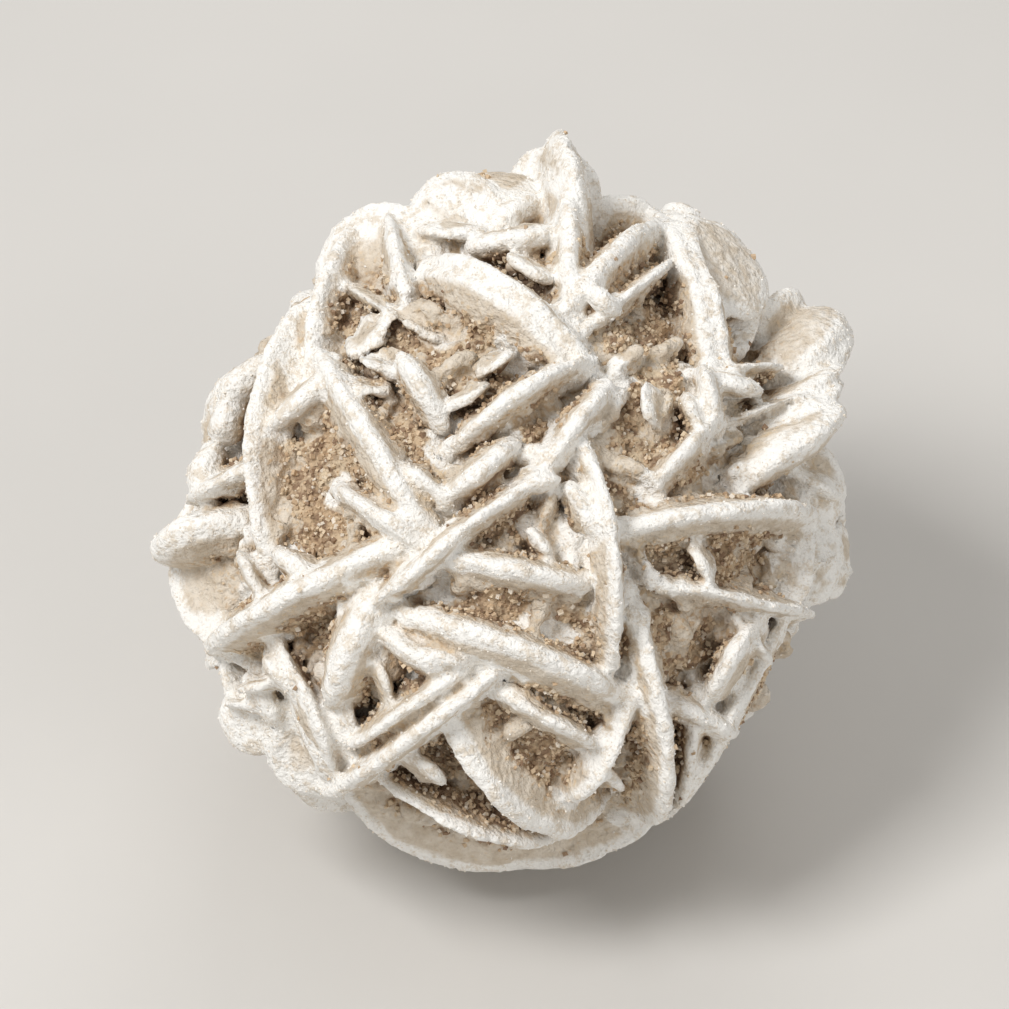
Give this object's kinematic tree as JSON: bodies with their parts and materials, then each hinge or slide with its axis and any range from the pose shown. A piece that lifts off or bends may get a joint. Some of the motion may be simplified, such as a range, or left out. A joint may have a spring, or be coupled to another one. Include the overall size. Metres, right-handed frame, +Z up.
{
  "type": "gypsum sand rose",
  "caption": "Small gypsum sand rose: a rounded cluster of intergrown lens-shaped crystals with pale powdery edges and sandy hollows between them.",
  "frame": {"origin": "middle of the stone's box, on the surface it rests on", "axes": "+Z up; -Y towards the viewer of the picture, +X to the viewer's right"},
  "size_m": [0.038, 0.0374, 0.0361],
  "materials": {
    "sand_rose": "rough, powdery, with sand in the hollows"
  },
  "bodies": {
    "root": {"sand_rose": "sand_rose"}
  },
  "joints": []
}
